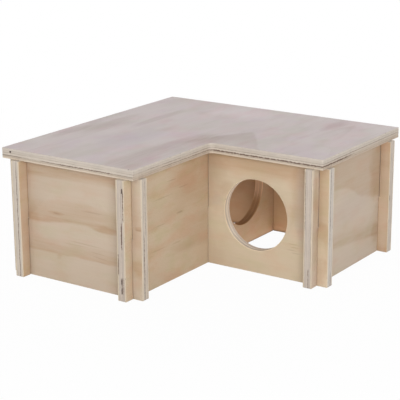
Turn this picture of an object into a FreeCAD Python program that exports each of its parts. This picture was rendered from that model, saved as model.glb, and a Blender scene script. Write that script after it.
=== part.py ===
import FreeCAD, Part
import os

# A hamster house with three rooms on an L-shaped plan, made of flat plywood boards.
# Three boards run along X and three along Y. They stand on edge and cross each
# other in half-lap slots, and each one runs on past its last crossing as a tab.
# A loose L-shaped lid lies on their top edges, kept in place by four battens.
# Sizes are in millimetres. +Z is up, +X is to the right and -Y is the front.

# Walls
house_width = 254.0         # along X, over the faces of the left and right walls
house_depth = 254.0         # along Y, over the faces of the front and back walls
left_wing_width = 132.0     # along X, over the faces of the left and middle walls
right_wing_depth = 132.0    # along Y, over the faces of the entrance and back walls
wall_height = 114.0
wall_thickness = 9.0
tab_length = 11.0           # from the face of a board's last crossing to its end
slot_side_gap = 0.4         # on each side of the board that stands in a slot

# Round doorways
doorway_diameter = 70.0
doorway_centre_height = 57.5
entrance_offset = -2.5      # of the entrance, along X, from the middle of its room

# Lid
lid_thickness = 10.0
lid_overhang = 11.0         # past the wall faces, with the lid in the middle of its play
lid_inner_radius = 6.0      # of the rounded inner corner of the L
lid_rest_x = -3.0           # where the loose lid lies within its play
lid_rest_y = 3.5

# Battens glued under the lid, one beside each outer wall
batten_width = 10.0
batten_depth = 10.0
batten_play = 5.0           # from a batten to its wall, with the lid in the middle
batten_corner_gap = 2.0     # from a batten's end to the side of the one round the corner

# Outer faces of the boards, in plan, with the front left corner at zero
left_face = 0.0
front_face = 0.0
right_face = left_face + house_width
back_face = front_face + house_depth
wing_side_face = left_face + left_wing_width
wing_front_face = back_face - right_wing_depth

# Low X side of each board that runs along Y, and low Y side of each that runs along X
left_wall_x = left_face
middle_wall_x = wing_side_face - wall_thickness
right_wall_x = right_face - wall_thickness
front_wall_y = front_face
entrance_wall_y = wing_front_face
back_wall_y = back_face - wall_thickness

# Clear sizes and middles of the rooms
front_room_width = middle_wall_x - left_wall_x - wall_thickness
front_room_depth = entrance_wall_y - front_wall_y - wall_thickness
right_room_width = right_wall_x - middle_wall_x - wall_thickness
right_room_depth = back_wall_y - entrance_wall_y - wall_thickness
front_room_middle_x = left_wall_x + wall_thickness + front_room_width / 2
front_room_middle_y = front_wall_y + wall_thickness + front_room_depth / 2
right_room_middle_x = middle_wall_x + wall_thickness + right_room_width / 2
right_room_middle_y = entrance_wall_y + wall_thickness + right_room_depth / 2

# Edges of the lid as it lies
lid_left = left_face - lid_overhang + lid_rest_x
lid_right = right_face + lid_overhang + lid_rest_x
lid_front = front_face - lid_overhang + lid_rest_y
lid_back = back_face + lid_overhang + lid_rest_y
lid_wing_side = wing_side_face + lid_overhang + lid_rest_x
lid_wing_front = wing_front_face - lid_overhang + lid_rest_y

# The origin is on the ground, under the middle of the overall box
box_left = min(left_face - tab_length, lid_left)
box_right = max(right_face + tab_length, lid_right)
box_front = min(front_face - tab_length, lid_front)
box_back = max(back_face + tab_length, lid_back)
box_middle = FreeCAD.Vector((box_left + box_right) / 2, (box_front + box_back) / 2, 0)

slot_width = wall_thickness + 2 * slot_side_gap
slot_depth = wall_height / 2    # the two slot ends of a crossing meet at half the height


def block(x_low, y_low, z_low, x_size, y_size, z_size):
    """A box from its lowest corner and its sizes."""
    return Part.makeBox(x_size, y_size, z_size, FreeCAD.Vector(x_low, y_low, z_low))


def board_along_x(y_low, x_from, x_to, crossings):
    """A wall along X, with a slot open at the top for each wall that crosses it."""
    board = block(x_from, y_low, 0, x_to - x_from, wall_thickness, wall_height)
    for x_low in crossings:
        slot = block(x_low - slot_side_gap, y_low, wall_height - slot_depth,
                     slot_width, wall_thickness, slot_depth)
        board = board.cut(slot)
    return board


def board_along_y(x_low, y_from, y_to, crossings):
    """A wall along Y, with a slot open at the bottom for each wall that crosses it."""
    board = block(x_low, y_from, 0, wall_thickness, y_to - y_from, wall_height)
    for y_low in crossings:
        slot = block(x_low, y_low - slot_side_gap, 0,
                     wall_thickness, slot_width, slot_depth)
        board = board.cut(slot)
    return board


def doorway(x_low, y_low, direction):
    """The round hole through a wall, from the given place on one of its faces."""
    centre = FreeCAD.Vector(x_low, y_low, doorway_centre_height)
    return Part.makeCylinder(doorway_diameter / 2, wall_thickness, centre, direction)


def front_wall():
    """The short wall across the end of the left wing."""
    return board_along_x(front_wall_y, left_face - tab_length, wing_side_face + tab_length,
                         [left_wall_x, middle_wall_x])


def entrance_wall():
    """The long wall with the entrance, which also parts the front room from the corner room."""
    board = board_along_x(entrance_wall_y, left_face - tab_length, right_face + tab_length,
                          [left_wall_x, middle_wall_x, right_wall_x])
    along_y = FreeCAD.Vector(0, 1, 0)
    entrance = doorway(right_room_middle_x + entrance_offset, entrance_wall_y, along_y)
    inner_doorway = doorway(front_room_middle_x, entrance_wall_y, along_y)
    return board.cut(entrance).cut(inner_doorway)


def back_wall():
    """The long wall behind the corner room and the right room."""
    return board_along_x(back_wall_y, left_face - tab_length, right_face + tab_length,
                         [left_wall_x, middle_wall_x, right_wall_x])


def left_wall():
    """The long wall beside the front room and the corner room."""
    return board_along_y(left_wall_x, front_face - tab_length, back_face + tab_length,
                         [front_wall_y, entrance_wall_y, back_wall_y])


def middle_wall():
    """The long wall that closes the left wing and parts the corner room from the right room."""
    board = board_along_y(middle_wall_x, front_face - tab_length, back_face + tab_length,
                          [front_wall_y, entrance_wall_y, back_wall_y])
    along_x = FreeCAD.Vector(1, 0, 0)
    return board.cut(doorway(middle_wall_x, right_room_middle_y, along_x))


def right_wall():
    """The short wall across the end of the right wing."""
    return board_along_y(right_wall_x, wing_front_face - tab_length, back_face + tab_length,
                         [entrance_wall_y, back_wall_y])


def lid_panel():
    """The L-shaped lid, with its inner corner rounded."""
    left_wing = block(lid_left, lid_front, wall_height,
                      lid_wing_side - lid_left, lid_back - lid_front, lid_thickness)
    right_wing = block(lid_wing_side, lid_wing_front, wall_height,
                       lid_right - lid_wing_side, lid_back - lid_wing_front, lid_thickness)
    panel = left_wing.fuse(right_wing).removeSplitter()
    inner_corner = FreeCAD.Vector(lid_wing_side, lid_wing_front, wall_height + lid_thickness / 2)
    inner_edges = [edge for edge in panel.Edges if edge.CenterOfMass.isEqual(inner_corner, 0.01)]
    return panel.makeFillet(lid_inner_radius, inner_edges)


def batten_length(room_length):
    """The length of a batten that leaves room for its neighbour round each corner."""
    return room_length - 2 * (batten_play + batten_width + batten_corner_gap)


def batten_along_x(x_middle, y_low, room_width):
    """A batten under the lid, parallel to a wall that runs along X."""
    length = batten_length(room_width)
    return block(x_middle - length / 2 + lid_rest_x, y_low + lid_rest_y,
                 wall_height - batten_depth, length, batten_width, batten_depth)


def batten_along_y(x_low, y_middle, room_depth):
    """A batten under the lid, parallel to a wall that runs along Y."""
    length = batten_length(room_depth)
    return block(x_low + lid_rest_x, y_middle - length / 2 + lid_rest_y,
                 wall_height - batten_depth, batten_width, length, batten_depth)


def lid_batten_front():
    """The batten that lies behind the front wall."""
    y_low = front_wall_y + wall_thickness + batten_play
    return batten_along_x(front_room_middle_x, y_low, front_room_width)


def lid_batten_left():
    """The batten that lies beside the left wall, in the front room."""
    x_low = left_wall_x + wall_thickness + batten_play
    return batten_along_y(x_low, front_room_middle_y, front_room_depth)


def lid_batten_right():
    """The batten that lies beside the right wall."""
    x_low = right_wall_x - batten_play - batten_width
    return batten_along_y(x_low, right_room_middle_y, right_room_depth)


def lid_batten_back():
    """The batten that lies in front of the back wall, in the right room."""
    y_low = back_wall_y - batten_play - batten_width
    return batten_along_x(right_room_middle_x, y_low, right_room_width)


pieces = [front_wall, entrance_wall, back_wall, left_wall, middle_wall, right_wall,
          lid_panel, lid_batten_front, lid_batten_left, lid_batten_right, lid_batten_back]

os.makedirs("parts", exist_ok=True)
for make_piece in pieces:
    shape = make_piece()
    shape.translate(-box_middle)
    shape.exportStep("parts/" + make_piece.__name__ + ".step")
    print(make_piece.__name__, "has", len(shape.Solids), "solid of", round(shape.Volume), "mm3")
print("the front left corner of the walls is at", -box_middle.x, -box_middle.y)
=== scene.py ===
import math
import random
from functools import partial

import bmesh
import bpy
from mathutils import Matrix, Vector


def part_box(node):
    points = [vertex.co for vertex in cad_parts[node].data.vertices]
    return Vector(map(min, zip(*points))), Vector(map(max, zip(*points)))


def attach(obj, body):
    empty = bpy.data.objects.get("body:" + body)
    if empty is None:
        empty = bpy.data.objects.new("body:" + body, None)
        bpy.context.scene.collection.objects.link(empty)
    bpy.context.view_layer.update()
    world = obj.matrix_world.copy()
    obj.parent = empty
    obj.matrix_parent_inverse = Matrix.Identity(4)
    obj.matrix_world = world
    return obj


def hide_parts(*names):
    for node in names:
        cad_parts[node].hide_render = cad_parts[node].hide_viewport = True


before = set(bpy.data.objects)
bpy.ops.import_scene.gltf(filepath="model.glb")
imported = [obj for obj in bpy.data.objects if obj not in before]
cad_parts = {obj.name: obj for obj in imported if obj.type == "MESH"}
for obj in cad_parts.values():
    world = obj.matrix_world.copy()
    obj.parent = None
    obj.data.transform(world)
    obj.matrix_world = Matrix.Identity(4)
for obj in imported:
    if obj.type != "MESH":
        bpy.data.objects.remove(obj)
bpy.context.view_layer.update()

mm = 0.001
print("stage: the frame is loaded, with", len(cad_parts), "pieces")


# Helpers for building node trees

class wire:
    # One output of a node. A sum that is written with wires builds the Math nodes for it
    def __init__(self, socket):
        self.socket = socket
        self.tree = socket.id_data

    def __add__(self, other):
        return maths("ADD", self, other)

    def __sub__(self, other):
        return maths("SUBTRACT", self, other)

    def __rsub__(self, other):
        return maths("SUBTRACT", other, self)

    def __mul__(self, other):
        return maths("MULTIPLY", self, other)

    def __truediv__(self, other):
        return maths("DIVIDE", self, other)

    def __pow__(self, other):
        return maths("POWER", self, other)

    __radd__ = __add__
    __rmul__ = __mul__


def feed(socket, value):
    if isinstance(value, wire):
        socket.id_data.links.new(value.socket, socket)
    elif socket.type == "VECTOR" and isinstance(value, (int, float)):
        socket.default_value = (value,) * 3
    else:
        socket.default_value = value


def addNode(tree, kind, feeds=None, **settings):
    node = tree.nodes.new(kind)
    for name, value in settings.items():
        setattr(node, name, value)
    for name, value in (feeds or {}).items():
        feed(node.inputs[name], value)
    return node


def made(tree, kind, feeds=None, output=0, **settings):
    return wire(addNode(tree, kind, feeds, **settings).outputs[output])


def treeOf(*terms):
    return next(term.tree for term in terms if isinstance(term, wire))


def isVector(term):
    return term.socket.type == "VECTOR" if isinstance(term, wire) else isinstance(term, tuple)


def maths(operation, *terms, clamp=False):
    feeds = dict(enumerate(terms))
    if any(isVector(term) for term in terms):
        output = "Value" if operation in ("LENGTH", "DOT_PRODUCT") else 0
        return made(treeOf(*terms), "ShaderNodeVectorMath", feeds, output, operation=operation)
    return made(treeOf(*terms), "ShaderNodeMath", feeds, operation=operation, use_clamp=clamp)


def smoothStep(value, low, high):
    return made(value.tree, "ShaderNodeMapRange", {"Value": value, "From Min": low, "From Max": high},
                interpolation_type="SMOOTHSTEP")


def noise(place, stretch, seed, detail=2.0, roughness=0.5):
    shift = made(place.tree, "ShaderNodeVectorMath", {0: (13.1, 5.7, 2.9), "Scale": seed}, operation="SCALE")
    return made(place.tree, "ShaderNodeTexNoise",
                {"Vector": place * stretch + shift, "Scale": 1.0, "Detail": detail, "Roughness": roughness})


def centred(value, reach):
    return (value - 0.5) * reach


def parts(vector):
    return [wire(output) for output in addNode(vector.tree, "ShaderNodeSeparateXYZ", {0: vector}).outputs]


def joined(*terms):
    return made(treeOf(*terms), "ShaderNodeCombineXYZ", dict(enumerate(terms)))


def newGroup(name, kind, inputs, outputs):
    group = bpy.data.node_groups.new(name, kind)
    for way, sockets in (("INPUT", inputs), ("OUTPUT", outputs)):
        for label, socketType, *value in sockets:
            socket = group.interface.new_socket(label, in_out=way, socket_type="NodeSocket" + socketType)
            if value:
                socket.default_value = value[0]
    entry = group.nodes.new("NodeGroupInput")
    return group, lambda label: wire(entry.outputs[label]), group.nodes.new("NodeGroupOutput").inputs


def addObject(name, data):
    thing = bpy.data.objects.new(name, data)
    bpy.context.scene.collection.objects.link(thing)
    return thing


# Camera, light and floor

studio = {
    "lens": 117.01,                 # millimetres, on a sensor 36 wide
    "azimuth": 34.396,              # degrees to the right of the front
    "elevation": 16.374,
    "roll": -0.358,
    "aim": (-5.06, -3.68, 61.39),   # what the camera points at, in millimetres
    "distance": 1270.2,
    "skyLight": 0.45,
    "floorTone": 0.86,
    "floorSize": 8.0,               # metres each way from the middle
    "floorLift": (0.965, 1.0),      # share of plain white that the camera sees, near and far
    "floorReach": (0.22, 0.75),     # metres from the middle, for near and far
    "lampTarget": (0, 0, 0.05),
    "lamps": {                      # azimuth and elevation in degrees, metres away, width, watts
        "keyLamp": (46.0, 16.0, 2.4, 1.2, 21.0),
        "leftKeyLamp": (10.0, 18.0, 2.4, 1.2, 6.0),
        "rightKeyLamp": (82.0, 18.0, 2.4, 1.2, 6.0),
        "fillLamp": (-16.0, 32.0, 2.4, 1.4, 7.5),
        "backLamp": (178.0, 22.0, 2.4, 1.4, 18.0),
        "leftLamp": (258.0, 18.0, 2.4, 1.4, 17.0),
    },
    "tableGlow": {                  # light that a white table throws up into each room
        "rooms": ((-0.0595, -0.063), (-0.0595, 0.059), (0.063, 0.059)),
        "powers": (0.034, 0.026, 0.036),
        "width": 0.112,
        "height": 0.0006,
        "colour": (1.0, 0.84, 0.74),
    },
}


def aimAt(thing, place, target, roll=0.0):
    back = (Vector(place) - Vector(target)).normalized()
    turn = back.to_track_quat("Z", "Y").to_matrix()
    thing.matrix_world = Matrix.Translation(place) @ (turn @ Matrix.Rotation(roll, 3, "Z")).to_4x4()


def towards(azimuth, elevation):
    turn, rise = math.radians(azimuth), math.radians(elevation)
    return Vector((math.sin(turn) * math.cos(rise), -math.cos(turn) * math.cos(rise), math.sin(rise)))


def addCamera():
    camera = addObject("camera", bpy.data.cameras.new("camera"))
    camera.data.lens = studio["lens"]
    camera.data.sensor_width = 36.0
    camera.data.clip_end = 50.0
    back = towards(studio["azimuth"], studio["elevation"])
    target = Vector(studio["aim"]) * mm
    aimAt(camera, target + back * studio["distance"] * mm, target, math.radians(studio["roll"]))
    bpy.context.scene.camera = camera


def addLamp(name, width, power, place, target):
    lamp = addObject(name, bpy.data.lights.new(name, "AREA"))
    lamp.data.size = width
    lamp.data.energy = power
    lamp.visible_camera = False
    aimAt(lamp, place, target)
    return lamp


def addLamps():
    for name, (azimuth, elevation, away, width, power) in studio["lamps"].items():
        lamp = addLamp(name, width, power, towards(azimuth, elevation) * away, studio["lampTarget"])
        lamp.data.shape = "DISK"
    glow = studio["tableGlow"]
    for number, ((x, y), power) in enumerate(zip(glow["rooms"], glow["powers"])):
        lamp = addLamp("tableGlow" + str(number), glow["width"], power, (x, y, glow["height"]), (x, y, 0.05))
        lamp.data.color = glow["colour"]
        lamp.visible_glossy = False


def bareTree(owner):
    owner.use_nodes = True
    owner.node_tree.nodes.clear()
    return owner.node_tree


def withWhite(tree, share, surface, outputNode):
    # Mixes a surface with plain white, which only what looks straight, mirrored or through glass sees
    path = addNode(tree, "ShaderNodeLightPath").outputs
    mirrored = maths("MAXIMUM", wire(path["Is Glossy Ray"]), wire(path["Is Transmission Ray"]))
    seen = maths("MAXIMUM", wire(path["Is Camera Ray"]), mirrored)
    whiteKind = "ShaderNodeBackground" if outputNode == "ShaderNodeOutputWorld" else "ShaderNodeEmission"
    white = made(tree, whiteKind, {"Color": (1, 1, 1, 1), "Strength": 1.0})
    mix = made(tree, "ShaderNodeMixShader", {0: seen * share, 1: surface, 2: white})
    addNode(tree, outputNode, {"Surface": mix})


def addWorld():
    world = bpy.data.worlds.new("paleStudio")
    bpy.context.scene.world = world
    tree = bareTree(world)
    light = made(tree, "ShaderNodeBackground", {"Color": (1, 1, 1, 1), "Strength": studio["skyLight"]})
    withWhite(tree, 1.0, light, "ShaderNodeOutputWorld")


def addFloor():
    material = bpy.data.materials.new("paleFloor")
    tree = bareTree(material)
    tone, reach = studio["floorTone"], studio["floorSize"]
    paper = made(tree, "ShaderNodeBsdfDiffuse", {"Color": (tone, tone, tone, 1)})
    away = maths("LENGTH", made(tree, "ShaderNodeTexCoord", output="Object"))
    low, high = studio["floorLift"]
    lift = smoothStep(away, *studio["floorReach"]) * (high - low) + low
    withWhite(tree, lift, paper, "ShaderNodeOutputMaterial")
    mesh = bpy.data.meshes.new("floor")
    corners = [(-reach, -reach, 0), (reach, -reach, 0), (reach, reach, 0), (-reach, reach, 0)]
    mesh.from_pydata(corners, [], [(0, 1, 2, 3)])
    mesh.materials.append(material)
    addObject("floor", mesh)


bpy.context.scene.view_settings.view_transform = "Standard"
addCamera()
addLamps()
addWorld()
addFloor()
print("stage: camera, lamps and floor are set")


# Board outlines, taken from the frame's own pieces

outlineValues = {
    "spacing": 1.3,          # between points along an edge
    "fineSpacing": 0.45,     # where a gap in the core is listed
    "cornerRadius": 0.7,     # of the sanded corners
    "cornerSteps": 4,
    "roundSteps": 176,       # points round a doorway
}


def faceLoops(node, through):
    # Directed loops round the face that looks against the through direction, material on the left
    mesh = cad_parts[node].data
    low = min(v.co.dot(through) for v in mesh.vertices)
    key = [tuple(round(c / mm, 3) for c in v.co) for v in mesh.vertices]
    spot = {key[i]: v.co.copy() for i, v in enumerate(mesh.vertices)}
    steps = set()
    for face in mesh.polygons:
        flat = all(abs(mesh.vertices[i].co.dot(through) - low) < 0.01 * mm for i in face.vertices)
        if flat and face.normal.dot(through) < -0.99:
            ring = [key[i] for i in face.vertices]
            steps.update(zip(ring, ring[1:] + ring[:1]))
    after = {a: b for a, b in steps if (b, a) not in steps}
    loops = []
    while after:
        start = min(after)
        ring = [start]
        nextKey = after.pop(start)
        while nextKey != start:
            ring.append(nextKey)
            nextKey = after.pop(nextKey)
        loops.append([spot[k] for k in ring])
    return loops


def withoutStraights(points):
    kept = []
    for i, point in enumerate(points):
        before = (point - points[i - 1]).normalized()
        ahead = (points[(i + 1) % len(points)] - point).normalized()
        if before.dot(ahead) < 0.99999:
            kept.append(point)
    return kept


def roundLoop(points):
    # A doorway's loop, with its points spaced evenly; none for any other loop
    centre = sum(points, Vector()) / len(points)
    reach = [(p - centre).length for p in points]
    if len(points) < 24 or max(reach) - min(reach) > 0.1 * mm:
        return None
    first = points[0] - centre
    normal = first.cross(points[1] - centre).normalized()
    steps = outlineValues["roundSteps"]
    turns = [Matrix.Rotation(2 * math.pi * i / steps, 3, normal) for i in range(steps)]
    return [centre + turn @ first for turn in turns]


def sandedCorners(points, normal):
    # Outer corners become small arcs; slots keep their sharp inner corners
    radius = outlineValues["cornerRadius"] * mm
    steps = outlineValues["cornerSteps"]
    sanded = []
    for i, point in enumerate(points):
        before = points[i - 1] - point
        ahead = points[(i + 1) % len(points)] - point
        turn = math.degrees(before.angle(ahead))
        outer = normal.dot(ahead.cross(before)) > 0
        if turn > 120 or not outer or min(before.length, ahead.length) < 3 * radius:
            sanded.append(point)
            continue
        before.normalize()
        ahead.normalize()
        centre = point + (before + ahead) * radius
        for step in range(steps + 1):
            angle = 0.5 * math.pi * step / steps
            sanded.append(centre - ahead * radius * math.cos(angle) - before * radius * math.sin(angle))
    return sanded


def spaced(points, gaps):
    spots = [Vector(spot) * mm for spot, _, _, _ in gaps]
    placed = []
    for i, point in enumerate(points):
        ahead = points[(i + 1) % len(points)]
        length = (ahead - point).length
        near = any((spot - point).length + (spot - ahead).length < length + 1.5 * mm for spot in spots)
        step = outlineValues["fineSpacing" if near else "spacing"] * mm
        count = max(1, math.ceil(length / step - 0.3))
        placed += [point.lerp(ahead, k / count) for k in range(count)]
    return placed


def inwardVectors(points, normal):
    sides = [normal.cross((points[(i + 1) % len(points)] - p).normalized()) for i, p in enumerate(points)]
    return [(sides[i - 1] + sides[i]) / (1 + sides[i - 1].dot(sides[i])) for i in range(len(points))]


def coreGaps(places, values):
    # Gaps in the inner plies: a few at random along the edge, and the listed ones
    dice = random.Random(values["seed"])
    plies = [0.0] * len(places)
    depths = [0.0] * len(places)
    run, left, ply, depth = 1, 0, 0, 0.0
    for i in range(len(places)):
        if left == 0 and dice.random() < values["gapChance"]:
            run, ply, depth = dice.randint(2, 6), dice.choice((1, 3)), dice.uniform(0.2, 0.7)
            left = run
        if left:
            plies[i] = ply
            depths[i] = depth * mm * math.sin(math.pi * left / (run + 1))
            left -= 1
    for spot, length, ply, depth in values["coreGaps"]:
        for i, place in enumerate(places):
            share = (place - Vector(spot) * mm).length / (0.5 * length * mm)
            if share < 1:
                plies[i] = ply
                depths[i] = depth * mm * (1 - share ** 3) * dice.uniform(0.45, 1.0)
    return plies, depths


def outlineMesh(values):
    # A flat filled face with what the edge needs on each of its points
    normal = -Vector(values["through"])
    places, inwards, edges = [], [], []
    for loop in faceLoops(values["node"], -normal):
        points = roundLoop(loop)
        if points is None:
            points = spaced(sandedCorners(withoutStraights(loop), normal), values["coreGaps"])
        first = len(places)
        places += points
        inwards += inwardVectors(points, normal)
        edges += [(first + i, first + (i + 1) % len(points)) for i in range(len(points))]
    mesh = bpy.data.meshes.new(values["node"] + "Outline")
    mesh.from_pydata(places, edges, [])
    shape = bmesh.new()
    shape.from_mesh(mesh)
    bmesh.ops.triangle_fill(shape, use_beauty=True, use_dissolve=False, edges=shape.edges[:], normal=normal)
    shape.to_mesh(mesh)
    shape.free()
    ways = mesh.attributes.new("inward", "FLOAT_VECTOR", "POINT")
    ways.data.foreach_set("vector", [c for way in inwards for c in way])
    for name, numbers in zip(("gapPly", "gapDepth"), coreGaps(places, values)):
        mesh.attributes.new(name, "FLOAT", "POINT").data.foreach_set("value", numbers)
    return mesh


# Edge profiles: how far in each point across the thickness lies

plywood = {
    "plies": (1.4, 2.0, 2.1, 2.2, 1.3),     # thicknesses, from one face to the other
    "steps": (0.0, 0.07, 0.02, 0.05, 0.0),  # how far in each ply's edge lies
    "rounding": 0.35,
    "grooveDepth": 0.14,                    # at the glue lines
    "lip": 0.16,                            # from a glue line to the flat of the ply
}
lidPlywood = {**plywood, "plies": (1.8, 1.5, 2.4, 2.3, 2.0)}
softwood = {"plies": (10.0,), "steps": (0.0,), "rounding": 0.8, "grooveDepth": 0.0, "lip": 1.5}
chipMark, plainMark = -1, -5                # marks of a point that may chip, and of one that nothing opens


def edgeProfile(name, values):
    # x is how far in, y how deep, z the ply that a gap opens in, or one of the two marks
    total = sum(values["plies"])
    radius = values["rounding"]
    rounded = [(radius * (1 - math.sin(a)), radius * (1 - math.cos(a)), chipMark)
               for a in (0.0, math.pi / 4, math.pi / 2)]
    stations = list(rounded)
    depth = 0.0
    last = len(values["plies"]) - 1
    for ply, (thick, step) in enumerate(zip(values["plies"], values["steps"])):
        low, high = depth, depth + thick
        if ply > 0:
            stations.append((step + values["grooveDepth"], low, plainMark))
            stations.append((step, low + values["lip"], plainMark))
        stations.append((step, low + 0.25 * thick, ply))
        stations.append((step, low + 0.75 * thick, ply))
        if ply < last:
            stations.append((step, high - values["lip"], plainMark))
        depth = high
    stations += [(inset, total - low, mark) for inset, low, mark in reversed(rounded)]
    mesh = bpy.data.meshes.new(name)
    mesh.from_pydata([(x * mm, y * mm, z) for x, y, z in stations], [], [])
    return addObject(name, mesh)


# The board tree: carries an outline across the thickness along an edge profile

boardValues = {
    "mergeDistance": 0.000002,      # metres, as are the next two
    "faceMargin": 0.000001,         # how near a face still counts as the face
    "pitDepth": 0.0006,             # how deep a pit is that takes its full colour
    "sharpAngle": 38,
    "spareAttributes": ("inward", "gapPly", "gapDepth", "outlineAt", "frontier"),
}


def boardTree():
    tree, given, result = newGroup("boardBody", "GeometryNodeTree", [
        ("Outline", "Geometry"),
        ("Edge profile", "Object"),
        ("Through", "Vector"),
        ("Grain", "Vector"),
        ("Thickness", "Float"),
        ("Waviness", "Float", 0.00006),
        ("Glue line drift", "Float", 0.00018),
        ("Chip depth", "Float", 0.0005),
        ("Seed", "Float"),
        ("Material", "Material"),
    ], [("Geometry", "Geometry")])

    def geometryNode(kind, feeds=None, output=0, **settings):
        return made(tree, "GeometryNode" + kind, feeds, output, **settings)

    def named(name, kind="FLOAT"):
        return geometryNode("InputNamedAttribute", {"Name": name}, "Attribute", data_type=kind)

    def store(geometry, name, kind, domain, value, selection=True):
        feeds = {"Geometry": geometry, "Selection": selection, "Name": name, "Value": value}
        return geometryNode("StoreNamedAttribute", feeds, data_type=kind, domain=domain)

    profile = geometryNode("ObjectInfo", {"Object": given("Edge profile")}, "Geometry")
    lastStation = geometryNode("AttributeDomainSize", {"Geometry": profile}, "Point Count") - 1
    position = geometryNode("InputPosition")
    outlineAt, inward = named("outlineAt", "FLOAT_VECTOR"), named("inward", "FLOAT_VECTOR")
    gapPly, gapDepth = named("gapPly"), named("gapDepth")
    wave = noise(outlineAt, (90, 90, 90), given("Seed"), detail=3.0)
    chipNoise = noise(outlineAt, (420, 420, 420), given("Seed"), detail=1.0)

    def placeRing(geometry, selection, station):
        sample = geometryNode("SampleIndex", {"Geometry": profile, "Value": position, "Index": station},
                              data_type="FLOAT_VECTOR", domain="POINT")
        inset, depth, mark = parts(sample)
        through = given("Through")
        # a gap in the core, only at its own ply
        gap = maths("SUBTRACT", 1.0, maths("ABSOLUTE", mark - gapPly), clamp=True) * gapDepth
        # small chips at the rounded edges
        isRim = maths("COMPARE", mark, chipMark, 0.1)
        chip = smoothStep(chipNoise, 0.66, 0.8) * given("Chip depth") * isRim
        # saw marks and waves along the edge
        farIn = inset + wave * given("Waviness") + (gap + chip)
        # glue lines wander, but the faces stay flat
        share = depth / given("Thickness")
        middle = share * (1 - share)
        drift = centred(noise(outlineAt + through * depth, (130, 130, 130), given("Seed")), 8.0)
        deep = depth + drift * (middle * given("Glue line drift"))
        place = outlineAt + inward * farIn + through * deep
        moved = geometryNode("SetPosition", {"Geometry": geometry, "Selection": selection, "Position": place})
        deeper = store(moved, "plyDepth", "FLOAT", "POINT", depth, selection)
        pit = maths("DIVIDE", gap + chip, boardValues["pitDepth"], clamp=True)
        return store(deeper, "pit", "FLOAT", "POINT", pit, selection)

    base = store(given("Outline"), "outlineAt", "FLOAT_VECTOR", "POINT", position)
    isRim = maths("COMPARE", geometryNode("InputMeshEdgeNeighbors", output="Face Count"), 1.0, 0.1)
    nearCap = store(placeRing(base, True, 0), "frontier", "BOOLEAN", "EDGE", isRim)
    farCap = geometryNode("FlipFaces", {"Mesh": placeRing(base, True, lastStation)})

    start = tree.nodes.new("GeometryNodeRepeatInput")
    end = tree.nodes.new("GeometryNodeRepeatOutput")
    start.pair_with_output(end)
    feed(start.inputs["Iterations"], lastStation)
    feed(start.inputs["Geometry"], nearCap)
    feeds = {"Mesh": wire(start.outputs["Geometry"]), "Selection": named("frontier", "BOOLEAN"),
             "Offset Scale": 0.0}
    grown = addNode(tree, "GeometryNodeExtrudeMesh", feeds, mode="EDGES").outputs
    ring = store(wire(grown["Mesh"]), "frontier", "BOOLEAN", "EDGE", wire(grown["Top"]))
    ring = placeRing(ring, named("frontier", "BOOLEAN"), wire(start.outputs["Iteration"]) + 1)
    feed(end.inputs["Geometry"], ring)

    gathered = addNode(tree, "GeometryNodeJoinGeometry")
    feed(gathered.inputs[0], wire(end.outputs["Geometry"]))
    feed(gathered.inputs[0], farCap)
    feeds = {"Geometry": wire(gathered.outputs[0]), "Distance": boardValues["mergeDistance"]}
    whole = geometryNode("MergeByDistance", feeds)
    depth, margin = named("plyDepth"), boardValues["faceMargin"]
    inside = maths("GREATER_THAN", depth, margin) * maths("LESS_THAN", depth, given("Thickness") - margin)
    whole = store(whole, "edgeFace", "FLOAT", "FACE", inside)
    facing = maths("DOT_PRODUCT", geometryNode("InputNormal"), given("Grain"))
    whole = store(whole, "endGrain", "FLOAT", "FACE", facing * facing)
    smooth = maths("GREATER_THAN", named("edgeFace"), 0.5)
    whole = geometryNode("SetShadeSmooth", {"Geometry": whole, "Shade Smooth": smooth}, domain="FACE")
    whole = geometryNode("RealizeInstances", {"Geometry": whole})
    feed(result["Geometry"], geometryNode("SetMaterial", {"Geometry": whole, "Material": given("Material")}))
    return tree


boardBody = boardTree()


def makeBoard(name, values, body, profile, material):
    outline = addObject(name + "Outline", outlineMesh(values))
    modifier = outline.modifiers.new("boardBody", "NODES")
    modifier.node_group = boardBody
    low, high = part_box(values["node"])
    choices = {
        "Edge profile": profile,
        "Through": values["through"],
        "Grain": values["grain"],
        "Thickness": (high - low).dot(Vector(values["through"])),
        "Seed": float(values["seed"]),
        "Material": material,
    }
    for socket in boardBody.interface.items_tree:
        if socket.in_out == "INPUT" and socket.name in choices:
            modifier[socket.identifier] = choices[socket.name]
    bpy.context.view_layer.update()
    depsgraph = bpy.context.evaluated_depsgraph_get()
    mesh = bpy.data.meshes.new_from_object(outline.evaluated_get(depsgraph), depsgraph=depsgraph)
    bpy.data.objects.remove(outline)
    for spare in boardValues["spareAttributes"]:
        mesh.attributes.remove(mesh.attributes[spare])
    mesh.name = name
    mesh.materials.clear()
    mesh.materials.append(material)
    mesh.polygons.foreach_set("material_index", [0] * len(mesh.polygons))
    mesh.set_sharp_from_angle(angle=math.radians(boardValues["sharpAngle"]))
    piece = addObject(name, mesh)
    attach(piece, body)
    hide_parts(values["node"])


# Wood: the figure that every veneer shares

finish = {
    "roughness": 0.66,
    "edgeRoughness": 0.12,           # more on the edges
    "streakRoughness": -0.06,        # less on the pale streaks
    "relief": 0.35,
    "reliefDepth": 0.00012,          # metres
    "innerFade": 0.4,                # how much weaker the brown is on the inner faces
    "paleLift": 0.12,
    "darkDrop": 0.5,
    "shadeWarmth": (1.15, 1.35),     # powers that make green and blue darken more than red
    "jointLine": (0.6, 0.15),        # from a crossing board, where its dark line starts and where it is full
    "jointShare": 0.3,
    "rimReach": 40.0,                # from a doorway's centre, a little past its rim
    "sillHeights": (-7.0, -21.0),    # from its centre, where the rim's shade starts and where it is full
    "sillWarmth": (1.3, 1.75),
    "plyFibre": 0.2,
    "plyBlotches": 0.1,
    "pitShare": 0.85,
}


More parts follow.
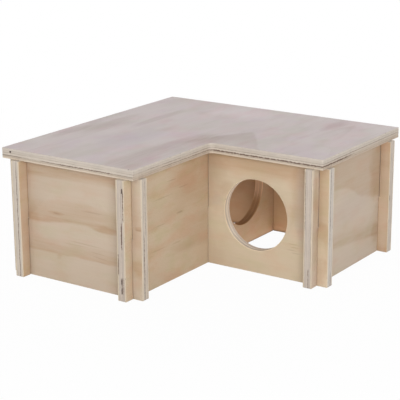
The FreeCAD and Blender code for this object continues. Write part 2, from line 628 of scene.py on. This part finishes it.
def linear(colour):
    return tuple(((c / 255 + 0.055) / 1.055) ** 2.4 for c in colour) + (1.0,)


def mixColour(share, first, second, blend="MIX"):
    return made(treeOf(share, first, second), "ShaderNodeMix", {0: share, 6: first, 7: second}, 2,
                data_type="RGBA", blend_type=blend)


def mixValue(share, first, second):
    return made(share.tree, "ShaderNodeMix", {0: share, 2: first, 3: second})


def warmed(shade, warmth):
    green, blue = finish[warmth]
    return joined(shade, shade ** green, shade ** blue)


def figureGroup():
    # Rotary-cut veneer in millimetres: wandering growth bands, soft clouds, fibres and resin dashes
    inputs, outputs = [[(label, "Float") for label in labels] for labels in (
        ("Along", "Across", "Seed", "Band width", "Wander", "Dash share"),
        ("Band", "Cloud", "Streak", "Dash", "Height"))]
    tree, given, result = newGroup("veneerFigure", "ShaderNodeTree", inputs, outputs)
    place = joined(given("Along"), given("Across"))
    seed = given("Seed")

    def layer(lengthwise, crosswise, reach=2.0, **settings):
        return centred(noise(place, (1 / lengthwise, 1 / crosswise, 0), seed, **settings), reach)

    rings = layer(150, 62) * given("Wander") - given("Across") / given("Band width") + layer(30, 16, 0.24)
    within = maths("FRACT", rings)
    late = smoothStep(within, 0.2, 0.94) * smoothStep(within, 1.0, 0.95)
    ring = made(tree, "ShaderNodeTexWhiteNoise", {"W": maths("FLOOR", rings) + seed}, noise_dimensions="1D")
    streak = layer(60, 1.7, detail=3.0, roughness=0.6)
    fibre = layer(9, 0.32)
    shifted = place * (1 / 9, 1 / 1.5, 0) + seed * (3.3, 7.1, 0)
    cells = addNode(tree, "ShaderNodeTexVoronoi", {"Vector": shifted}, voronoi_dimensions="2D").outputs
    chosen = maths("LESS_THAN", parts(wire(cells["Color"]))[0], given("Dash share"))
    dash = smoothStep(wire(cells["Distance"]), 0.24, 0.1) * chosen
    feed(result["Band"], late * (ring + 0.25))
    feed(result["Cloud"], layer(75, 30, detail=3.0))
    feed(result["Streak"], streak * 0.7 + fibre * 0.3)
    feed(result["Dash"], dash)
    feed(result["Height"], fibre * 0.5 + streak * 0.35 + late * 0.5 - dash * 0.7)
    return tree


figure = figureGroup()


# Marks on a board, each at a place along and across its grain in millimetres. They return their tone, the
# face they are on, which is the outer one if none is given, and the function that builds them

def layersOf(spot, stretch, seed, layering):
    return noise(spot, stretch, seed, detail=3.0, roughness=0.6) * layering + (1 - 0.5 * layering)


def band(line, fade, strength, edge=1.6, steepness=1.4, ends=6, layering=1.7, side=None):
    # A brown band that deepens towards one line across the board and stops sharply there
    first, last = line[0][0], line[-1][0]
    low = min(height for _, height in line) - 1
    high = max(height for _, height in line) + 1

    def build(along, across):
        share = made(along.tree, "ShaderNodeMapRange", {"Value": along, "From Min": first, "From Max": last})
        curve = addNode(along.tree, "ShaderNodeFloatCurve", {"Value": share})
        points = curve.mapping.curves[0].points
        places = [((a - first) / (last - first), (height - low) / (high - low)) for a, height in line]
        points[0].location, points[-1].location = places[0], places[-1]
        for place in places[1:-1]:
            points.new(*place)
        curve.mapping.update()
        spot = joined(along, across)
        wobble = centred(noise(spot, (1 / 18, 1 / 40, 0), low, detail=3.0), 2.0)
        beyond = across + wobble - (wire(curve.outputs[0]) * (high - low) + low)
        amount = smoothStep(beyond, fade, 0.0) ** steepness * smoothStep(beyond, -edge, 0.0)
        amount = amount * smoothStep(along, first - ends, first + ends)
        amount = amount * smoothStep(along, last + ends, last - ends)
        return amount * layersOf(spot, (1 / 46, 1 / 3.2, 0), high, layering) * strength

    return "brown", side, build


def arch(tip, spread, fade, strength, edge=5.0, bend=1.5, slope=0.0, way=1, length=50, layering=1.2,
         side=None):
    # A pointed arch of late wood, as a saw or knife leaves where it cuts through a growth ring
    tipAlong, tipAcross = tip

    def build(along, across):
        spot = joined(along, across)
        wobble = centred(noise(spot, (1 / 34, 1 / 9, 0), tipAlong * 0.11 + tipAcross, detail=3.0), 9.0)
        ahead = along - tipAlong
        aside = maths("ABSOLUTE", across - tipAcross - ahead * slope)
        within = (tipAlong - along) * way - aside ** bend / spread + wobble
        amount = smoothStep(within, 0.0, edge) * smoothStep(within, fade, 0.0) ** 1.2
        amount = amount * smoothStep(maths("ABSOLUTE", ahead), length, 0.3 * length)
        return amount * layersOf(spot, (1 / 50, 1 / 3.0, 0), tipAcross, layering) * strength

    return "brown", side, build


def patch(tone, middle, size, strength, slope=0.0, soft=(0.35, 1.0), side=None):
    # A soft oval patch, or a thin dash where its size across is small
    def build(along, across):
        ahead = along - middle[0]
        spot = joined(ahead / size[0], (across - middle[1] - ahead * slope) / size[1])
        ragged = noise(spot, (1.3, 2.1, 0), middle[0] * 0.37 + middle[1], detail=3.0)
        far = maths("LENGTH", spot) + centred(ragged, 0.9)
        return smoothStep(far, soft[1], soft[0]) * strength

    return tone, side, build


brown, grey, pale, dark = [partial(patch, tone) for tone in ("brown", "grey", "pale", "dark")]


def onFace(depth, thickness, side):
    # 1 on one face of the board: side -1 is the near face, 1 the far one
    return maths("LESS_THAN" if side < 0 else "GREATER_THAN", depth, 0.5 * thickness)


def jointLines(along, values):
    # The thin dark line at each of the two sides of a crossing board on a face: partly a dark seam, partly
    # painted shadow of the narrow gap
    axis, across = values["axes"][0], values["axes"][2]
    low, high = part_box(values["node"])
    places = []
    for other in boards.values():
        otherLow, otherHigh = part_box(other["node"])
        crosses = otherLow[across] < low[across] and otherHigh[across] > high[across]
        if crosses and other["axes"][0] == across and other["kind"] == "wall":
            places += [face[axis] / mm for face in (otherLow, otherHigh)
                       if low[axis] < face[axis] < high[axis]]
    if not places:
        return 0.0
    nearest = 100.0
    for place in places:
        nearest = maths("MINIMUM", maths("ABSOLUTE", along - place), nearest)
    return smoothStep(nearest, *finish["jointLine"]) * finish["jointShare"]


def rampOf(value, stops, interpolation):
    node = addNode(value.tree, "ShaderNodeValToRGB", {"Fac": value})
    ramp = node.color_ramp
    ramp.interpolation = interpolation
    ramp.elements[0].position, ramp.elements[0].color = stops[0]
    ramp.elements[1].position, ramp.elements[1].color = stops[-1]
    for position, colour in stops[1:-1]:
        ramp.elements.new(position).color = colour
    return wire(node.outputs["Color"])


def glueLines(share, endGrain, ends, values):
    # How dark the glue lines are, on end grain and on side grain
    total, black = ends[-1], (0, 0, 0, 1)
    stops = [(0.0, black)]
    for end, (atEnds, atSides, reach) in zip(ends[:-1], values["glueLines"]):
        stops += [((end - reach) / total, black), (end / total, (atEnds, atSides, 0, 1)),
                  ((end + reach) / total, black)]
    atEnds, atSides, _ = parts(rampOf(share, stops + [(1.0, black)], "LINEAR"))
    return mixValue(endGrain, atSides, atEnds)


def plyEdge(point, depth, endGrain, values, ends):
    # The edge of a board: the tone of each ply, its fibres, and the dark glue lines between
    total, seed, axes = ends[-1], values["seed"], values["axes"]
    drift = centred(noise(point, (1 / 9, 1 / 9, 1 / 9), seed + 1.9, detail=3.0), 0.7)
    share = (depth + drift) / total
    starts = [0.0] + [end / total for end in ends[:-1]]

    def plyTones(label):
        stops = [(start, linear(tone)) for start, tone in zip(starts, values[label])]
        return rampOf(share, stops, "CONSTANT")

    tone = mixColour(endGrain, plyTones("sideTones"), plyTones("endTones"))
    for centre in values["doorways"]:
        offset = point - centre
        onRim = maths("LESS_THAN", maths("LENGTH", offset), finish["rimReach"])
        # Painted shade and light on a doorway's rim: darker towards the bottom where sillShade is positive,
        # lighter towards the bottom where it is negative
        paintedSillShade = 1.0 - smoothStep(parts(offset)[2], *finish["sillHeights"]) * values["sillShade"]
        # rimTones: the rim's own cut tones, partly lifted with painted light because the rim gets less light
        shaded = mixColour(1.0, plyTones("rimTones"), warmed(paintedSillShade, "sillWarmth"), "MULTIPLY")
        tone = mixColour(onRim, tone, shaded)
    crossPly = parts(rampOf(share, [(p, (i % 2,) * 3 + (1,)) for i, p in enumerate(starts)], "CONSTANT"))[0]
    longStretch, crossStretch = [[1 / 14 if axis == lengthwise else 1 / 0.55 for axis in range(3)]
                                 for lengthwise in axes[:2]]
    longFibre = noise(point, longStretch, seed, detail=3.0, roughness=0.65)
    crossFibre = noise(point, crossStretch, seed + 0.7, detail=3.0, roughness=0.65)
    fibre = centred(mixValue(crossPly, longFibre, crossFibre), 2.0)
    blotches = centred(noise(point, (1 / 17, 1 / 2.5, 1 / 17), seed), 2.0)
    shade = fibre * finish["plyFibre"] + blotches * finish["plyBlotches"] + 1.0
    tone = mixColour(1.0, tone, shade, "MULTIPLY")
    broken = noise(point, (1 / 14, 1 / 14, 1 / 14), seed + 3, detail=3.0, roughness=0.6)
    glue = glueLines(share, endGrain, ends, values)
    glue = maths("MULTIPLY", glue, smoothStep(broken, 0.3, 0.6), clamp=True)
    lumps = noise(point, (1 / 2.2, 1 / 2.2, 1 / 2.2), seed + 6, detail=4.0, roughness=0.7)
    lumps = smoothStep(lumps, 0.32, 0.68) + 0.35
    for centre, reach, line, width, strength in values["cracks"]:
        away = maths("LENGTH", point - centre)
        offset = maths("ABSOLUTE", share * total - ends[line]) / (lumps * width)
        crack = smoothStep(away, reach, 0.75 * reach) * smoothStep(offset, 1.0, 0.3)
        glue = maths("MAXIMUM", glue, crack * strength)
    return mixColour(glue, tone, linear(values["glueTone"])), fibre


def woodMaterial(name, values, plies):
    material = bpy.data.materials.new(name)
    material.use_nodes = True
    tree = material.node_tree
    shader = tree.nodes["Principled BSDF"]
    ends = [sum(plies[:i + 1]) for i in range(len(plies))]
    total, seed, solid = ends[-1], values["seed"], len(plies) == 1
    point = made(tree, "ShaderNodeTexCoord", output="Object") * 1000.0
    ways = parts(point)
    along, across, through = [ways[axis] for axis in values["axes"]]
    if solid:
        across = across + through * 0.8

    def attribute(label):
        return made(tree, "ShaderNodeAttribute", output="Fac", attribute_name=label)

    depth = attribute("plyDepth") * 1000.0
    edgeFace, endGrain = attribute("edgeFace"), attribute("endGrain")
    feeds = {"Along": along, "Across": across, "Seed": onFace(depth, total, 1) * 4.3 + float(seed),
             "Band width": values["bandWidth"], "Wander": values["wander"], "Dash share": values["dashShare"]}
    shared = addNode(tree, "ShaderNodeGroup", feeds, node_tree=figure)
    rings, cloud, streak, dash, height = [wire(output) for output in shared.outputs]

    # the faces
    ofBands, ofClouds, everywhere = values["brownShares"]
    tones = {"brown": rings * ofBands + cloud * ofClouds + everywhere, "grey": 0.0, "pale": 0.0, "dark": 0.0}
    for tone, side, build in values["marks"]:
        tones[tone] = tones[tone] + build(along, across) * onFace(depth, total, side or values["outerSide"])
    inner = onFace(depth, total, -values["outerSide"])
    light = mixColour(inner, linear(values["lightTone"]), linear(values["innerTone"]))
    share = tones["brown"] * (1.0 - inner * finish["innerFade"])
    colour = mixColour(share, light, linear(values["brownTone"]))
    colour = mixColour(tones["grey"], colour, linear(values["greyTone"]))
    shade = streak * values["streakStrength"] + 1.0 + tones["pale"] * finish["paleLift"]
    shade = shade - dash * values["dashStrength"] - tones["dark"] * finish["darkDrop"]
    colour = mixColour(1.0, colour, warmed(shade, "shadeWarmth"), "MULTIPLY")
    spot = joined(along, across)
    lengthwise, crosswise = values["mottleSize"]
    for number, tint in enumerate(values["mottle"]):
        where = noise(spot, (1 / lengthwise, 1 / crosswise, 0), seed + 5.3 * number, detail=3.0)
        share = smoothStep(where, 0.44, 0.72) * values["mottleStrength"]
        colour = mixColour(share, colour, linear(tint), "MULTIPLY")
    # Joint line: partly a dark seam, partly painted shadow of the gap beside a crossing board
    colour = mixColour(jointLines(along, values), colour, linear(values["jointTone"]))

    # the edges
    edge, edgeFibre = plyEdge(point, depth, endGrain, values, ends)
    if solid:
        edgeFace = edgeFace * endGrain
    colour = mixColour(edgeFace, colour, edge)
    # Painted shade: the dark gap tone darkens the core gaps and edge chips, recesses that their depth already
    # shades
    pitBreakup = noise(point, (0.8, 0.8, 0.8), seed + 8, detail=4.0, roughness=0.7)
    pit = attribute("pit") * edgeFace * smoothStep(pitBreakup, 0.28, 0.5)
    colour = mixColour(pit * finish["pitShare"], colour, linear(values["gapTone"]))

    feed(shader.inputs["Base Color"], colour)
    rough = streak * finish["streakRoughness"] + finish["roughness"] + edgeFace * finish["edgeRoughness"]
    feed(shader.inputs["Roughness"], rough)
    shader.inputs["Specular IOR Level"].default_value = values["gloss"]
    feeds = {"Height": mixValue(edgeFace, height, edgeFibre), "Strength": finish["relief"],
             "Distance": finish["reliefDepth"]}
    feed(shader.inputs["Normal"], made(tree, "ShaderNodeBump", feeds))
    return material


# What each board looks like: brown, grey, pale and dark patches have a middle, a size and a strength

wallDefaults = {
    "kind": "wall",
    "bandWidth": 24.0, "wander": 2.0,
    "brownShares": (0.16, 0.08, 0.04),      # in growth bands, in clouds and everywhere
    "dashShare": 0.16, "dashStrength": 0.16, "streakStrength": 0.05,
    "mottle": ((255, 242, 238), (246, 251, 240)), "mottleStrength": 0.6, "mottleSize": (34, 14),
    "lightTone": (198, 180, 160), "brownTone": (166, 127, 88), "greyTone": (184, 168, 158),
    "innerTone": (194, 167, 137),
    "endTones": ((207, 193, 172), (192, 180, 169), (197, 185, 173), (191, 179, 168), (209, 195, 174)),
    "sideTones": ((204, 191, 173), (194, 182, 168), (199, 188, 176), (194, 182, 168), (206, 193, 174)),
    "glueTone": (104, 82, 70), "gapTone": (72, 54, 48), "jointTone": (146, 98, 70), "gloss": 0.3,
    # how dark each glue line is on end grain and on side grain, and its half width
    "glueLines": ((0.3, 0.3, 0.25), (0.3, 0.4, 0.25), (0.8, 0.5, 0.4), (0.3, 0.3, 0.25)),
    "gapChance": 0.004,     # of a gap in the core, at each point along the edge
    "coreGaps": (),         # place, length, ply and depth of each
    "cracks": (),           # place, reach, glue line, width and strength of each
    "doorways": (),         # their centres
    "marks": (),
}
alongX = {"through": (0, 1, 0), "grain": (1, 0, 0), "axes": (0, 2, 1)}
alongY = {"through": (1, 0, 0), "grain": (0, 1, 0), "axes": (1, 2, 0)}
frontWallBoard = {
    **wallDefaults, **alongX, "node": "front_wall", "seed": 1, "outerSide": -1,
    "brownShares": (0.03, 0.04, 0.02), "lightTone": (196, 179, 160),
    "endTones": ((212, 198, 177), (198, 186, 173), (203, 191, 177), (197, 185, 172), (214, 200, 179)),
    "cracks": (((17.5, -124, 30), 36, 1, 0.75, 0.8), ((17.5, -124, 88), 30, 2, 0.6, 0.6)),
    "glueLines": ((0.1, 0.3, 0.2), (0.7, 0.5, 0.4), (0.2, 0.3, 0.2), (0.6, 0.4, 0.35)),
    "marks": [
        band(((-118, 57), (-100, 57.5), (-80, 60), (-60, 62), (-46, 62), (-30, 59), (-2, 60)), fade=21,
             strength=0.33, edge=3, steepness=0.35, ends=1),
        band(((-118, 28), (-91, 28.5), (-78, 27.5), (-60, 29.5), (-43, 29), (-2, 30)), fade=15,
             strength=0.3, edge=3, steepness=0.7, ends=1),
        # Partly a growth band, partly painted shade under the lid's overhang
        band(((-118, 102), (-95, 104), (-60, 106), (-30, 107), (-2, 105)), fade=34, strength=0.34,
             edge=7, steepness=0.6, ends=1),
        brown((-112, 54), (14, 22), 0.16),
        dark((-81.5, 66.8), (5, 1.0), 0.3, slope=-0.04),
        brown((-82, 67), (12, 2.6), 0.2),
        dark((-38, 74.5), (16, 1.0), 0.2),
        dark((-47, 42.4), (28, 0.9), 0.22, slope=-0.02),
        dark((-60, 39.6), (20, 0.7), 0.16, slope=0.02),
        brown((-80, 25), (4, 4), 0.16),
        brown((-22, 60), (18, 6), 0.18),
        dark((-33, 36), (13, 0.7), 0.2, slope=-0.05),
        dark((-32, 32), (12, 0.7), 0.2, slope=-0.1),
        dark((-28, 28), (12, 0.7), 0.2, slope=-0.06),
        brown((14.5, 68), (8, 3), 0.26),
        dark((14.5, 66.8), (6, 1.1), 0.3),
        brown((14, 31), (13, 12), 0.26),
        brown((12, 55), (9, 70), 0.22),
        arch((-40, 62), spread=1.5, fade=40, strength=0.4, side=1),
        arch((-62, 63), spread=1.3, fade=22, strength=0.45, side=1),
    ],
}
entranceWallBoard = {
    **wallDefaults, **alongX, "node": "entrance_wall", "seed": 2, "outerSide": -1,
    "brownShares": (0.04, 0.05, 0.05), "lightTone": (209, 192, 167),
    "glueLines": ((0.25, 0.5, 0.25), (0.55, 0.6, 0.35), (0.3, 0.5, 0.25), (0.6, 0.6, 0.3)),
    # sillShade below zero: painted light, lighter towards the bottom of the doorways' rims
    "doorways": ((60.5, -2.25, 57.5), (-59.5, -2.25, 57.5)), "sillShade": -0.14,
    "cracks": (((139.5, -2, 78), 42, 1, 0.7, 0.7), ((139.5, -2, 6), 10, 2, 0.7, 0.8)),
    "endTones": ((212, 201, 184), (196, 188, 180), (202, 193, 183), (196, 187, 178), (213, 202, 186)),
    # rimTones: lighter than the end tones, partly the rim's own tone and partly painted light for a rim that
    # gets little light
    "rimTones": ((228, 209, 181), (203, 190, 172), (232, 219, 200), (212, 198, 181), (221, 207, 188)),
    "marks": [
        brown((64, 110), (90, 19), 0.46, soft=(0.2, 1.1)),
        # Painted shade: darker in the inner corner under the lid
        brown((12, 100), (22, 26), 0.12),
        brown((27, 80), (12, 9), 0.2),
        pale((17, 46), (11, 34), 0.35),
        grey((17, 66), (9, 9), 0.25),
        brown((12, 10), (18, 14), 0.08),
        brown((110, 78), (16, 44), 0.28),
        grey((112, 72), (12, 50), 0.34),
        dark((102, 36), (7, 0.8), 0.26),
        dark((104, 33), (6, 0.8), 0.26),
        dark((101, 30), (7, 0.8), 0.24),
        dark((105, 27.5), (6, 0.8), 0.24),
        brown((134, 52), (13, 14), 0.16),
        brown((134, 80), (12, 80), 0.36),
        brown((134, 18), (12, 16), 0.22),
        arch((-100, 70), spread=1.5, fade=60, strength=0.35, way=-1),
        arch((-104, 34), spread=1.6, fade=50, strength=0.35, way=-1, side=1),
    ],
}
backWallBoard = {
    **wallDefaults, **alongX, "node": "back_wall", "seed": 3, "outerSide": 1,
    "brownShares": (0.14, 0.1, 0.05),
    "glueLines": ((0.3, 0.4, 0.25), (0.4, 0.5, 0.3), (0.3, 0.4, 0.25), (0.2, 0.3, 0.25)),
    "marks": [
        dark((58, 81), (6, 1.3), 0.35),
        brown((58, 81), (15, 5), 0.35),
        band(((-120, 34), (-60, 39), (10, 37), (70, 30), (122, 32)), fade=20, strength=0.36, edge=3),
        arch((-36, 71), spread=1.2, fade=30, strength=0.34, slope=0.03),
        arch((-58, 71), spread=1.0, fade=24, strength=0.34, slope=0.03),
        arch((-78, 71), spread=0.9, fade=26, strength=0.32, slope=0.03),
        band(((-120, 96), (-60, 101), (10, 96), (70, 93), (122, 97)), fade=26, strength=0.3, edge=4),
        # Painted light: these lift and grey the tab's face in the corner beside the right wall, against that
        # corner's shade and warm bounce
        grey((134, 57), (9, 90), 0.25, side=-1),
        pale((134, 57), (9, 90), 1.0, side=-1),
        brown((134, 92), (9, 5), 0.3, side=-1),
    ],
}
leftWallBoard = {
    **wallDefaults, **alongY, "node": "left_wall", "seed": 4, "outerSide": -1,
    "brownShares": (0.1, 0.08, 0.06), "wander": 3.0,
    "glueLines": ((0.15, 0.4, 0.25), (0.15, 0.4, 0.25), (0.6, 0.6, 0.3), (0.15, 0.4, 0.25)),
    "endTones": ((210, 197, 176), (195, 184, 172), (200, 189, 176), (194, 183, 171), (212, 199, 178)),
    "cracks": (((-121, -139.75, 50), 66, 2, 0.7, 0.8),),
    "marks": [
        band(((-120, 80), (-60, 75), (0, 82), (60, 88), (122, 84)), fade=18, strength=0.38, edge=3),
        dark((24, 59), (5, 1.1), 0.35),
        brown((24, 59), (13, 4), 0.35),
        arch((96, 40), spread=1.6, fade=34, strength=0.33, slope=-0.04),
        arch((66, 41), spread=1.3, fade=26, strength=0.34, slope=-0.04),
        arch((42, 42), spread=1.1, fade=28, strength=0.32, slope=-0.04),
        band(((-120, 10), (0, 14), (122, 9)), fade=14, strength=0.3, edge=3),
        # Painted light: these lift and grey the tab's face in the corner beside the front wall, against that
        # corner's shade and warm bounce
        grey((-134, 57), (9, 90), 0.25, side=1),
        pale((-134, 57), (9, 90), 0.3, side=1),
    ],
}
middleWallBoard = {
    **wallDefaults, **alongY, "node": "middle_wall", "seed": 5, "outerSide": 1,
    "brownShares": (0.05, 0.12, 0.1), "dashShare": 0.62, "dashStrength": 0.25,
    "mottleStrength": 0.9, "mottleSize": (26, 13),
    # sillShade: painted shade, darker towards the bottom of the doorway's rim
    "lightTone": (201, 182, 157), "doorways": ((2, 59.25, 57.5),), "sillShade": 0.39,
    # rimTones: lighter than the end tones, partly the rim's own tone and partly painted light for a rim that
    # gets little light
    "rimTones": ((236, 208, 178), (220, 190, 160), (228, 198, 168), (214, 184, 154), (240, 212, 182)),
    "endTones": ((204, 190, 168), (189, 176, 164), (194, 181, 168), (188, 175, 163), (206, 192, 170)),
    "glueLines": ((0.5, 0.4, 0.3), (0.3, 0.4, 0.25), (0.6, 0.5, 0.35), (0.3, 0.3, 0.25)),
    "cracks": (((2, -139.75, 91), 17, 3, 0.9, 0.85), ((2, -139.75, 62), 14, 2, 0.95, 1.0),
               ((2, -139.75, 35), 12, 0, 0.8, 0.8), ((2, -139.75, 15), 9, 2, 2.0, 0.5)),
    "marks": [
        brown((-30, 94), (56, 34), 0.26),
        dark((-82, 84.5), (20, 1.0), 0.26, slope=0.02),
        dark((-54, 64), (7, 1.2), 0.4),
        dark((-86, 59), (12, 0.9), 0.24),
        dark((-88, 36), (16, 0.9), 0.22),
        dark((-60, 35.5), (9, 0.9), 0.26),
        dark((-68, 98), (9, 0.9), 0.26),
        dark((-48, 88), (10, 0.9), 0.26),
        brown((-60, 66), (22, 5), 0.12),
        pale((-30, 14), (60, 12), 0.4),
        brown((-50, 28), (26, 7), 0.14),
    ],
    "coreGaps": [
        ((-2.5, -139.75, 104), 5, 3, 1.4),
        ((-2.5, -139.75, 19), 7, 2, 1.2),
        ((-2.5, -139.75, 10), 7, 2, 1.0),
    ],
}
rightWallBoard = {
    **wallDefaults, **alongY, "node": "right_wall", "seed": 6, "outerSide": 1, "gapChance": 0.0,
    "cracks": (((124, -17.75, 84), 34, 0, 0.6, 0.55), ((124, -17.75, 8), 12, 2, 0.7, 0.8)),
    "brownShares": (0.03, 0.05, 0.03),
    "lightTone": (198, 182, 165), "brownTone": (162, 130, 94),
    "glueLines": ((0.2, 0.4, 0.25), (0.25, 0.4, 0.25), (0.15, 0.3, 0.2), (0.7, 0.5, 0.4)),
    "marks": [
        band(((0, 86), (28, 87), (48, 84), (62, 78), (76, 70), (92, 66), (118, 60)), fade=80,
             strength=0.3, edge=5, steepness=0.6, layering=0.7),
        band(((0, 29), (25, 29), (50, 27), (80, 24), (118, 19)), fade=15, strength=0.28, edge=4,
             steepness=0.5),
        brown((108, 90), (18, 44), 0.26),
        brown((112, 22), (14, 14), 0.28),
        grey((58, 60), (44, 22), 0.3),
        brown((-12, 60), (9, 70), 0.28),
        brown((-12, 86), (9, 30), 0.25),
        arch((84, 50), spread=1.4, fade=40, strength=0.4, side=-1),
        arch((54, 50), spread=1.2, fade=30, strength=0.4, side=-1),
    ],
}
lidPanel = {
    **wallDefaults, "through": (0, 0, 1), "grain": (0, 1, 0), "axes": (1, 0, 2),
    "node": "lid_panel", "kind": "lid", "seed": 7, "outerSide": 1, "gapChance": 0.0, "gloss": 0.12,
    # Painted sheen: the lid's light, brown and grey tones are paler and greyer than the walls' to stand in
    # for the top light's sheen on its face
    "lightTone": (208, 198, 196), "brownTone": (166, 146, 138), "greyTone": (186, 178, 182),
    "innerTone": (196, 174, 148), "bandWidth": 34.0, "wander": 3.4,
    "brownShares": (0.06, 0.12, 0.04), "dashShare": 0.22, "dashStrength": 0.1,
    "mottle": ((255, 243, 245), (246, 250, 243), (252, 247, 254)),
    "mottleStrength": 0.7, "mottleSize": (40, 24),
    "endTones": ((207, 192, 174), (186, 173, 158), (201, 190, 177), (195, 184, 172), (200, 190, 179)),
    "sideTones": ((188, 171, 154), (191, 176, 159), (193, 180, 166), (196, 185, 173), (202, 192, 181)),
    "glueLines": ((0.2, 0.4, 0.3), (0.95, 0.3, 0.6), (0.2, 0.75, 0.4), (0.2, 0.35, 0.3)),
    "cracks": (((86, -14.25, 118), 84, 1, 1.05, 0.9), ((86, -14.25, 120), 84, 2, 0.5, 0.35),
               ((-40, -136.25, 118), 36, 1, 0.8, 0.8), ((136.5, 52, 118), 60, 2, 0.5, 0.5),
               ((14.5, -60, 118), 40, 1, 0.6, 0.6)),
    "marks": [
        arch((47, 25), spread=1.1, fade=110, strength=0.28, edge=8, bend=1.15, slope=-0.1, length=90,
             layering=0.5),
        band(((-136, -14), (-90, -17), (-50, -15), (-20, -10), (14, -2)), fade=40, strength=0.3,
             edge=12, steepness=0.5, ends=14),
        brown((-10, -113), (62, 15), 0.3),
        brown((-45, -128), (50, 10), 0.3),
        brown((45, -88), (62, 8), 0.26),
        arch((128, 96), spread=0.9, fade=60, strength=0.22, edge=14, length=80),
        brown((110, 80), (30, 12), 0.2),
        pale((112, -20), (34, 56), 0.7, soft=(0.1, 1.1)),
        pale((88, -52), (30, 10), 0.4),
        pale((-20, -45), (80, 24), 0.2),
        grey((-40, -60), (60, 30), 0.3),
        arch((60, -60), spread=1.0, fade=70, strength=0.4, side=-1),
        arch((20, -60), spread=0.9, fade=50, strength=0.4, side=-1),
    ],
    "coreGaps": [((-129.5, -136.25, 114), 2.4, 3, 3.0)],
}
boards = {
    "frontWallBoard": frontWallBoard,
    "entranceWallBoard": entranceWallBoard,
    "backWallBoard": backWallBoard,
    "leftWallBoard": leftWallBoard,
    "middleWallBoard": middleWallBoard,
    "rightWallBoard": rightWallBoard,
    "lidPanel": lidPanel,
}
batten = {
    **wallDefaults, "kind": "batten", "gapChance": 0.0, "outerSide": -1, "bandWidth": 4.5, "wander": 0.5,
    "brownShares": (0.5, 0.1, 0.0), "dashShare": 0.1, "glueLines": (),
    "lightTone": (206, 184, 148), "brownTone": (178, 140, 96), "innerTone": (206, 184, 148),
    "endTones": ((186, 158, 120),), "sideTones": ((206, 184, 148),),
}
battens = {
    "frontBatten": {**batten, **alongX, "node": "lid_batten_front", "seed": 8},
    "leftBatten": {**batten, **alongY, "node": "lid_batten_left", "seed": 9},
    "rightBatten": {**batten, **alongY, "node": "lid_batten_right", "seed": 10},
    "backBatten": {**batten, **alongX, "node": "lid_batten_back", "seed": 11},
}
kinds = {       # body, material slot and edge profile
    "wall": ("house", "wall_plywood", plywood),
    "lid": ("lid", "lid_plywood", lidPlywood),
    "batten": ("lid", "batten_softwood", softwood),
}

profiles = {kind: edgeProfile(kind + "Profile", stack) for kind, (_, _, stack) in kinds.items()}
for name, values in {**boards, **battens}.items():
    body, slot, stack = kinds[values["kind"]]
    material = woodMaterial(name + "Wood", values, stack["plies"])
    makeBoard(name, values, body, profiles[values["kind"]], material)
    print("stage:", name, "is made")
for profile in profiles.values():
    bpy.data.objects.remove(profile)
